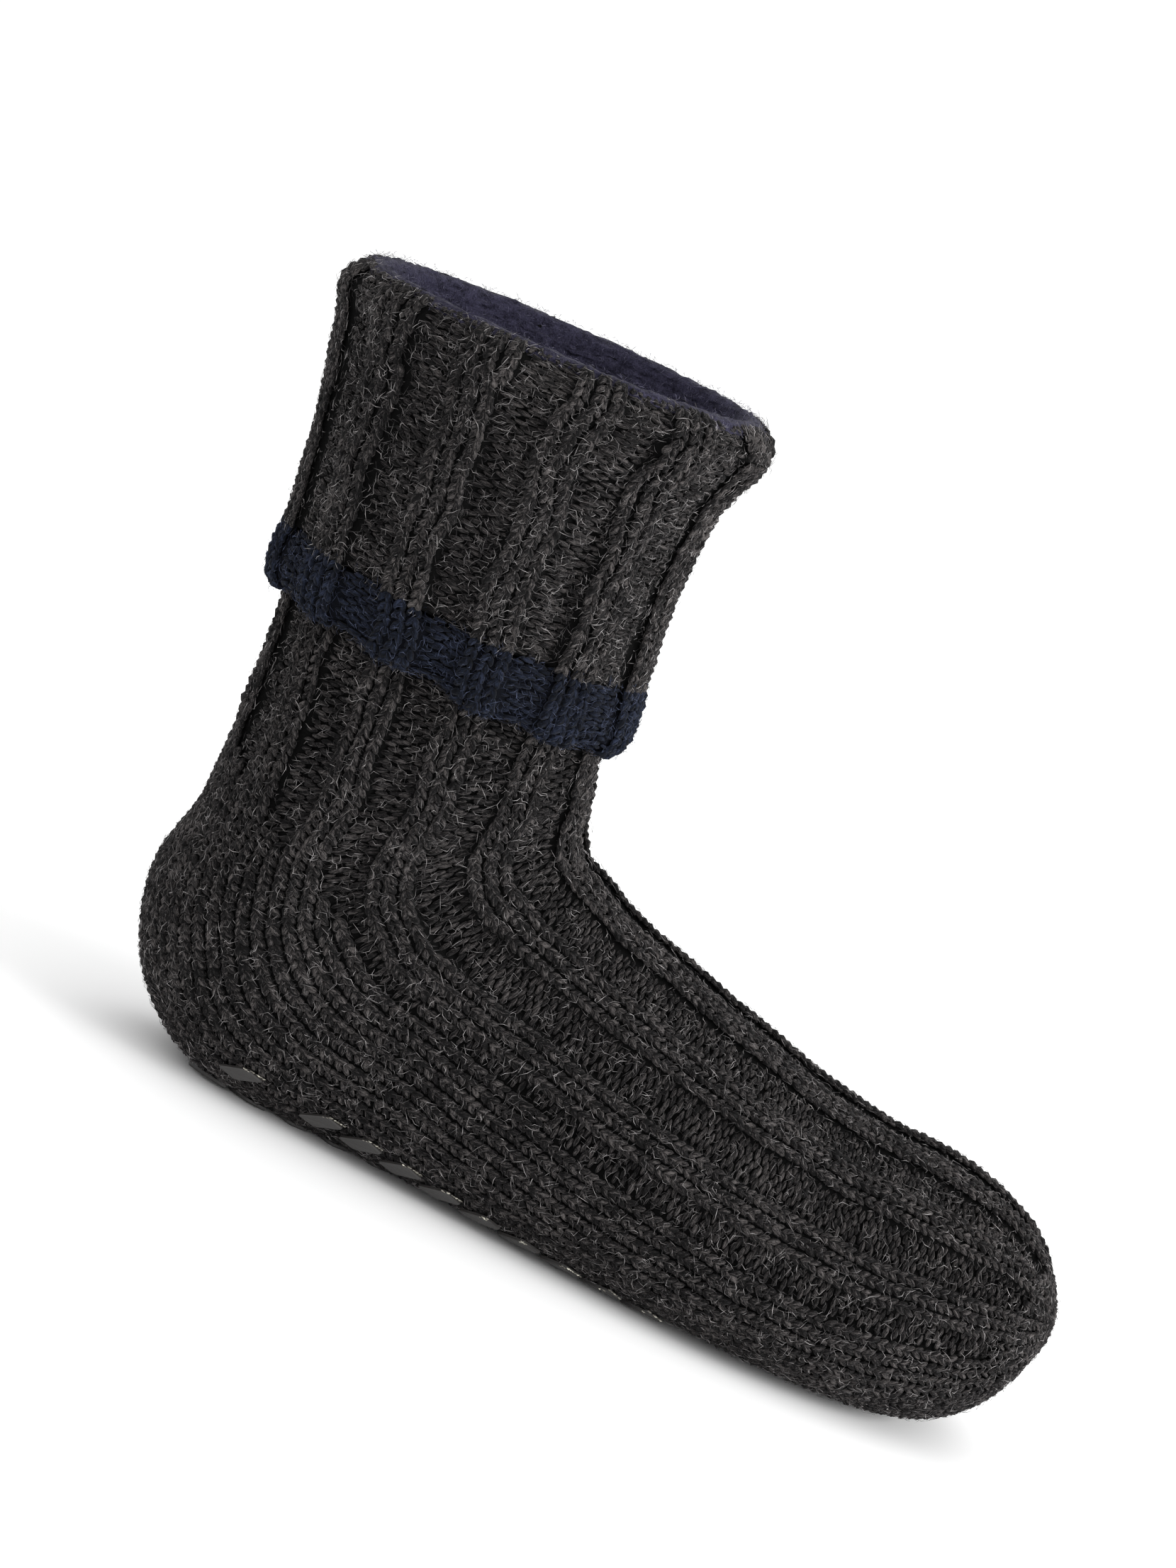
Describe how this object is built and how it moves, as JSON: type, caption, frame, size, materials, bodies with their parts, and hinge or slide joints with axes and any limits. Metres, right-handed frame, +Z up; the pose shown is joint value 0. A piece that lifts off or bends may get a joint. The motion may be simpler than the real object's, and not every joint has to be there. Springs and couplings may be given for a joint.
{
  "type": "slipper sock",
  "caption": "Chunky knitted slipper sock with a turned cuff, a knitted edge band, a fleece lining and printed rubber grips on the sole, standing empty.",
  "frame": {"origin": "middle of the footprint's box, on the floor", "axes": "+X towards the toe, +Y across the foot towards its left side, +Z up"},
  "size_m": [0.2914, 0.1052, 0.221],
  "materials": {
    "charcoal_knit": "chunky heather knit, fuzzy and matte",
    "navy_knit": "chunky knit, fuzzy and matte",
    "navy_fleece": "soft fleece pile, matte",
    "grip_rubber": "satin printed rubber"
  },
  "bodies": {
    "root": {"cuff_edge_band": "navy_knit", "grip_centre_01": "grip_rubber", "grip_centre_02": "grip_rubber", "grip_centre_03": "grip_rubber", "grip_centre_04": "grip_rubber", "grip_centre_05": "grip_rubber", "grip_centre_06": "grip_rubber", "grip_centre_07": "grip_rubber", "grip_centre_08": "grip_rubber", "grip_centre_09": "grip_rubber", "grip_centre_10": "grip_rubber", "grip_centre_11": "grip_rubber", "grip_centre_12": "grip_rubber", "grip_inner_left_01": "grip_rubber", "grip_inner_left_02": "grip_rubber", "grip_inner_left_03": "grip_rubber", "grip_inner_left_04": "grip_rubber", "grip_inner_left_05": "grip_rubber", "grip_inner_left_06": "grip_rubber", "grip_inner_left_07": "grip_rubber", "grip_inner_left_08": "grip_rubber", "grip_inner_left_09": "grip_rubber", "grip_inner_left_10": "grip_rubber", "grip_inner_left_11": "grip_rubber", "grip_inner_left_12": "grip_rubber", "grip_inner_right_01": "grip_rubber", "grip_inner_right_02": "grip_rubber", "grip_inner_right_03": "grip_rubber", "grip_inner_right_04": "grip_rubber", "grip_inner_right_05": "grip_rubber", "grip_inner_right_06": "grip_rubber", "grip_inner_right_07": "grip_rubber", "grip_inner_right_08": "grip_rubber", "grip_inner_right_09": "grip_rubber", "grip_inner_right_10": "grip_rubber", "grip_inner_right_11": "grip_rubber", "grip_inner_right_12": "grip_rubber", "grip_outer_left_01": "grip_rubber", "grip_outer_left_03": "grip_rubber", "grip_outer_left_04": "grip_rubber", "grip_outer_left_05": "grip_rubber", "grip_outer_left_06": "grip_rubber", "grip_outer_left_07": "grip_rubber", "grip_outer_left_08": "grip_rubber", "grip_outer_left_09": "grip_rubber", "grip_outer_left_10": "grip_rubber", "grip_outer_left_11": "grip_rubber", "grip_outer_right_01": "grip_rubber", "grip_outer_right_03": "grip_rubber", "grip_outer_right_04": "grip_rubber", "grip_outer_right_05": "grip_rubber", "grip_outer_right_06": "grip_rubber", "grip_outer_right_07": "grip_rubber", "grip_outer_right_08": "grip_rubber", "grip_outer_right_09": "grip_rubber", "grip_outer_right_10": "grip_rubber", "grip_outer_right_11": "grip_rubber", "knit_upper": "charcoal_knit"}
  },
  "joints": []
}
